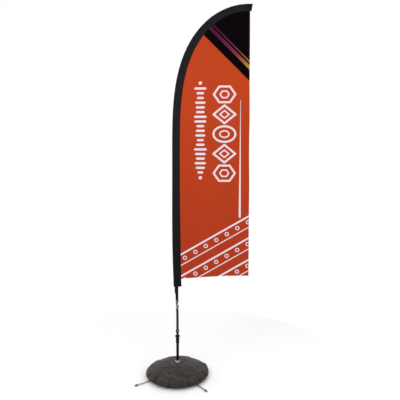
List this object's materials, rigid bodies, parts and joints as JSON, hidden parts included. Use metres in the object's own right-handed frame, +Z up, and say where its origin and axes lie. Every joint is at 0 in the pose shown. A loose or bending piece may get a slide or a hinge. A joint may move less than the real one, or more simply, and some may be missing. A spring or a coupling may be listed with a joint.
{
  "type": "feather flag",
  "caption": "Feather flag: bent pole in a sleeve with a tall blade sail, turning on a spindle over a folding cross base, held down by a round water bag.",
  "frame": {"origin": "on the floor, on the spindle's axis, in the middle of the pivot bolt's flat head", "axes": "+Z up along the spindle, +X from the pole towards the sail's free edge, +Y away from the sail's front face"},
  "size_m": [0.8712, 0.5256, 2.7995],
  "materials": {
    "leg_steel": "zinc plated round bar, dull silver",
    "bright_steel": "turned steel, lightly oiled",
    "hook_chrome": "nickel plated die casting",
    "black_steel": "satin black powder coat",
    "black_plastic": "moulded black plastic",
    "grey_plastic": "moulded light grey plastic",
    "nylon": "natural nylon",
    "cap_rubber": "soft dark rubber",
    "pole_carbon": "black carbon and glass composite tube",
    "fibreglass": "pultruded black fibreglass",
    "brass": "plain brass pin",
    "sail_cloth": "printed knitted polyester, orange with white line art and a black corner",
    "sleeve_cloth": "black woven polyester",
    "webbing": "black polyester webbing",
    "elastic": "black braided elastic cord",
    "bag_cloth": "charcoal coated polyester, faint sheen"
  },
  "bodies": {
    "base": {"lower_leg_bar": "leg_steel", "lower_front_end_cap": "cap_rubber", "lower_rear_end_cap": "cap_rubber", "pivot_washer": "nylon", "pivot_bolt": "bright_steel", "spindle_foot": "black_steel", "spindle_plug": "bright_steel", "spindle_tube": "black_steel", "bearing_housing": "black_plastic", "lower_bearing": "bright_steel", "bearing_spacer": "black_steel", "upper_bearing": "bright_steel", "bearing_retainer": "bright_steel"},
    "folding_leg": {"upper_leg_bar": "leg_steel", "upper_front_end_cap": "cap_rubber", "upper_rear_end_cap": "cap_rubber"},
    "bag": {"water_bag": "bag_cloth", "bag_collar": "grey_plastic", "filler_neck": "black_plastic"},
    "cap": {"filler_cap": "black_plastic"},
    "rotator": {"spigot": "bright_steel", "pole_seat": "black_plastic", "lock_nut": "bright_steel"},
    "pole": {"pole_bottom_section": "pole_carbon", "pole_middle_section": "pole_carbon", "pole_upper_section": "pole_carbon", "lower_joint_spigot": "fibreglass", "upper_joint_spigot": "fibreglass", "pole_tip_section": "fibreglass", "pole_tip_cap": "black_plastic", "pole_sleeve": "sleeve_cloth", "tip_pocket": "webbing", "sail": "sail_cloth", "tension_strap": "webbing", "swivel_eye": "hook_chrome", "tension_cord": "elastic", "cord_crimp": "bright_steel", "cord_anchor": "black_plastic", "anchor_screw": "bright_steel"},
    "hook": {"hook_body": "hook_chrome", "gate_pin": "brass"},
    "gate": {"hook_gate": "hook_chrome"}
  },
  "joints": [
    {"name": "leg_fold", "type": "hinge", "parent": "base", "child": "folding_leg", "pos_m": [0, 0, 0.018], "axis": [0, 0, 1], "range_deg": [0, 78]},
    {"name": "bag_lift", "type": "slide", "parent": "base", "child": "bag", "axis": [0, 0, 1], "range_m": [0, 0.18]},
    {"name": "cap_unscrew", "type": "hinge", "parent": "bag", "child": "cap", "pos_m": [0, 0.21, 0.0221], "axis": [0, 1, 0], "range_deg": [0, 540]},
    {"name": "flag_spin", "type": "hinge", "parent": "base", "child": "rotator", "pos_m": [0, 0, 0.27], "axis": [0, 0, 1], "continuous": true},
    {"name": "pole_lift", "type": "slide", "parent": "rotator", "child": "pole", "axis": [0, 0, 1], "range_m": [0, 0.09]},
    {"name": "hook_swivel", "type": "hinge", "parent": "pole", "child": "hook", "pos_m": [0.004, -0.0215, 0.559], "axis": [0, 0, 1], "range_deg": [-30, 30]},
    {"name": "gate_open", "type": "hinge", "parent": "hook", "child": "gate", "pos_m": [0.0098, -0.0215, 0.5547], "axis": [0, 1, 0], "range_deg": [0, 25], "stiffness_Nm_per_rad": 0.02, "springref_deg": -17.19}
  ]
}
